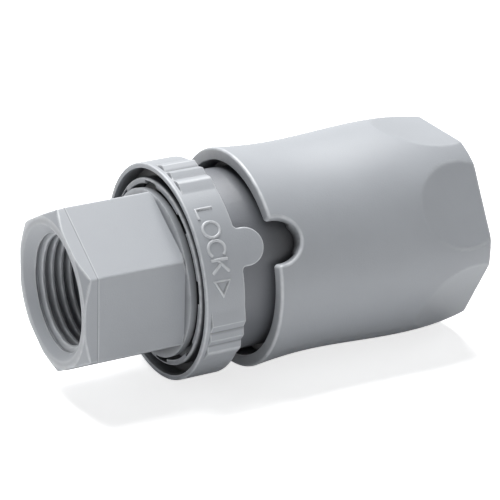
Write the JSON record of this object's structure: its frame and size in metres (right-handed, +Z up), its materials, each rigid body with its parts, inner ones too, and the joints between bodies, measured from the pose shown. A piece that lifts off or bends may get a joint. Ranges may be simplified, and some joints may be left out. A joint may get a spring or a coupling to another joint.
{
  "type": "plastic quick disconnect coupling",
  "caption": "Plastic quick disconnect tubing coupling: a hexagonal female-threaded plug latched in a socket with a sliding grip sleeve and a turning lock ring.",
  "frame": {"origin": "on the coupling's axis, where the full wall of the plug's thread bore begins behind its entry chamfer", "axes": "+X along the axis from the plug's thread to the hose side's thread, +Z up with the coupling lying on its side as pictured"},
  "size_m": [0.0604, 0.0306, 0.0308],
  "materials": {
    "shell_plastic": "fine satin grain, moulded",
    "inner_plastic": "plain satin, moulded",
    "seal_rubber": "smooth",
    "spring_steel": "drawn wire"
  },
  "bodies": {
    "socket": {"socket_body": "shell_plastic", "gland_ring": "shell_plastic", "latch_collet": "inner_plastic", "nose_seal": "seal_rubber", "socket_valve_spring": "spring_steel", "socket_valve_guide": "inner_plastic", "tail_adapter": "shell_plastic", "tail_seal": "seal_rubber", "lock_drag_ring": "seal_rubber", "lock_ring_clip": "inner_plastic", "sleeve_spring": "spring_steel"},
    "lock_ring": {"lock_ring": "shell_plastic"},
    "sleeve_washer": {"thrust_washer": "inner_plastic"},
    "sleeve": {"sleeve": "shell_plastic"},
    "plug_bush": {"guide_bush": "inner_plastic"},
    "plug": {"plug_body": "shell_plastic", "plug_valve_spring": "spring_steel", "plug_valve_guide": "inner_plastic", "plug_guide_clip": "inner_plastic"},
    "plug_valve": {"plug_valve_poppet": "inner_plastic", "plug_valve_seal": "seal_rubber"},
    "socket_valve": {"socket_valve_poppet": "inner_plastic", "socket_valve_seal": "seal_rubber"}
  },
  "joints": [
    {"name": "sleeve_slide", "type": "slide", "parent": "socket", "child": "sleeve_washer", "axis": [-1, 0, 0], "range_m": [0, 0.005], "stiffness_N_per_m": 600, "springref_m": -0.012, "deforming": ["sleeve_spring"]},
    {"name": "sleeve_turn", "type": "hinge", "parent": "sleeve_washer", "child": "sleeve", "pos_m": [0.0464, 0, 0], "axis": [1, 0, 0], "continuous": true},
    {"name": "lock_ring_turn", "type": "hinge", "parent": "socket", "child": "lock_ring", "pos_m": [0.0176, 0, 0], "axis": [-1, 0, 0], "range_deg": [-40, 0]},
    {"name": "plug_swivel", "type": "hinge", "parent": "socket", "child": "plug_bush", "pos_m": [0.019, 0, 0], "axis": [1, 0, 0], "continuous": true},
    {"name": "plug_pull", "type": "slide", "parent": "plug_bush", "child": "plug", "axis": [-1, 0, 0], "range_m": [0, 0.028], "deforming": ["latch_collet", "plug_valve_spring", "socket_valve_spring"]},
    {"name": "plug_valve_slide", "type": "slide", "parent": "plug", "child": "plug_valve", "axis": [1, 0, 0], "range_m": [0, 0.0025]},
    {"name": "socket_valve_slide", "type": "slide", "parent": "socket", "child": "socket_valve", "axis": [-1, 0, 0], "range_m": [0, 0.0025]}
  ],
  "couplings": [
    {"joint": "plug_valve_slide", "follows": "plug_pull", "ratio": 0.08925},
    {"joint": "socket_valve_slide", "follows": "plug_pull", "ratio": 0.08925}
  ]
}
